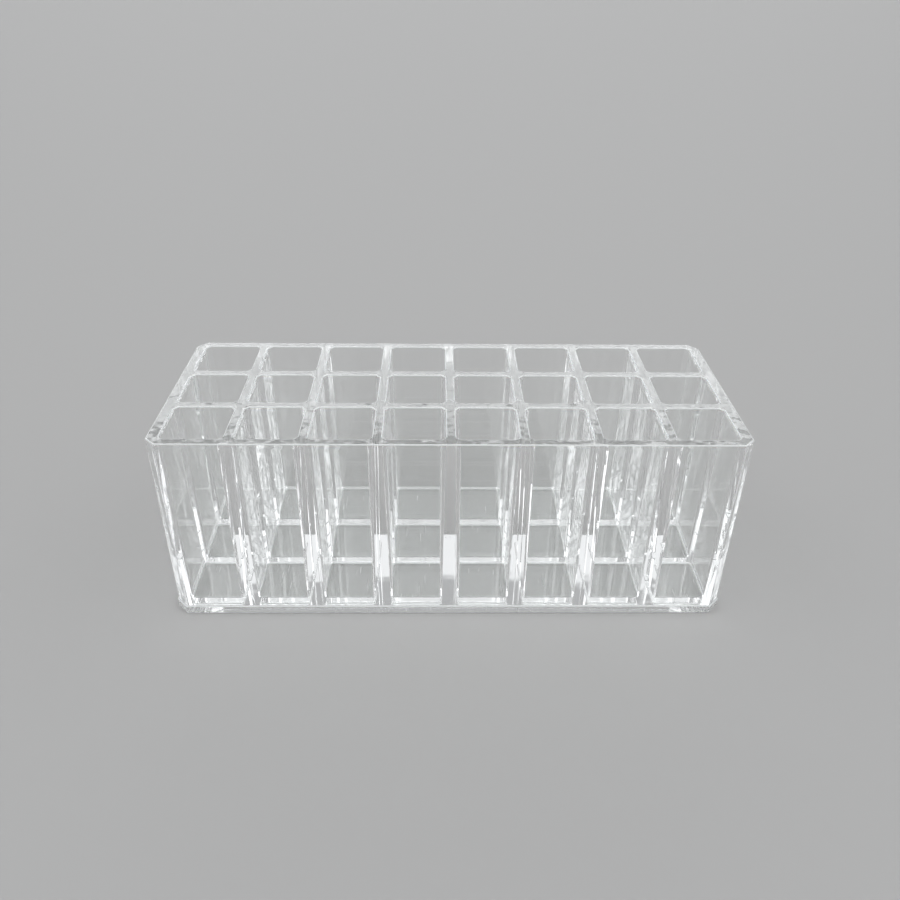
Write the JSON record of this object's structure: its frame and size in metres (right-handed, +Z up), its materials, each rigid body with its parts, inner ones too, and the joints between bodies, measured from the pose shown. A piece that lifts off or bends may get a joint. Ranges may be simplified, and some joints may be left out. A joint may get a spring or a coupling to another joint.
{
  "type": "vanity organizer",
  "caption": "Clear rigid plastic organizer with a grid of open square cells on a slightly larger foot plate, for upright lipsticks and small cosmetics.",
  "frame": {"origin": "centre of the underside of the foot plate, on the surface that the organizer stands on", "axes": "+X along the row of eight cells, +Y from the front to the back, +Z up out of the open cells"},
  "size_m": [0.2312, 0.0898, 0.084],
  "materials": {
    "clear_block": "clear gloss moulding",
    "clear_plate": "clear gloss moulding"
  },
  "bodies": {
    "root": {"compartment_block": "clear_block", "base_plate": "clear_plate"}
  },
  "joints": []
}
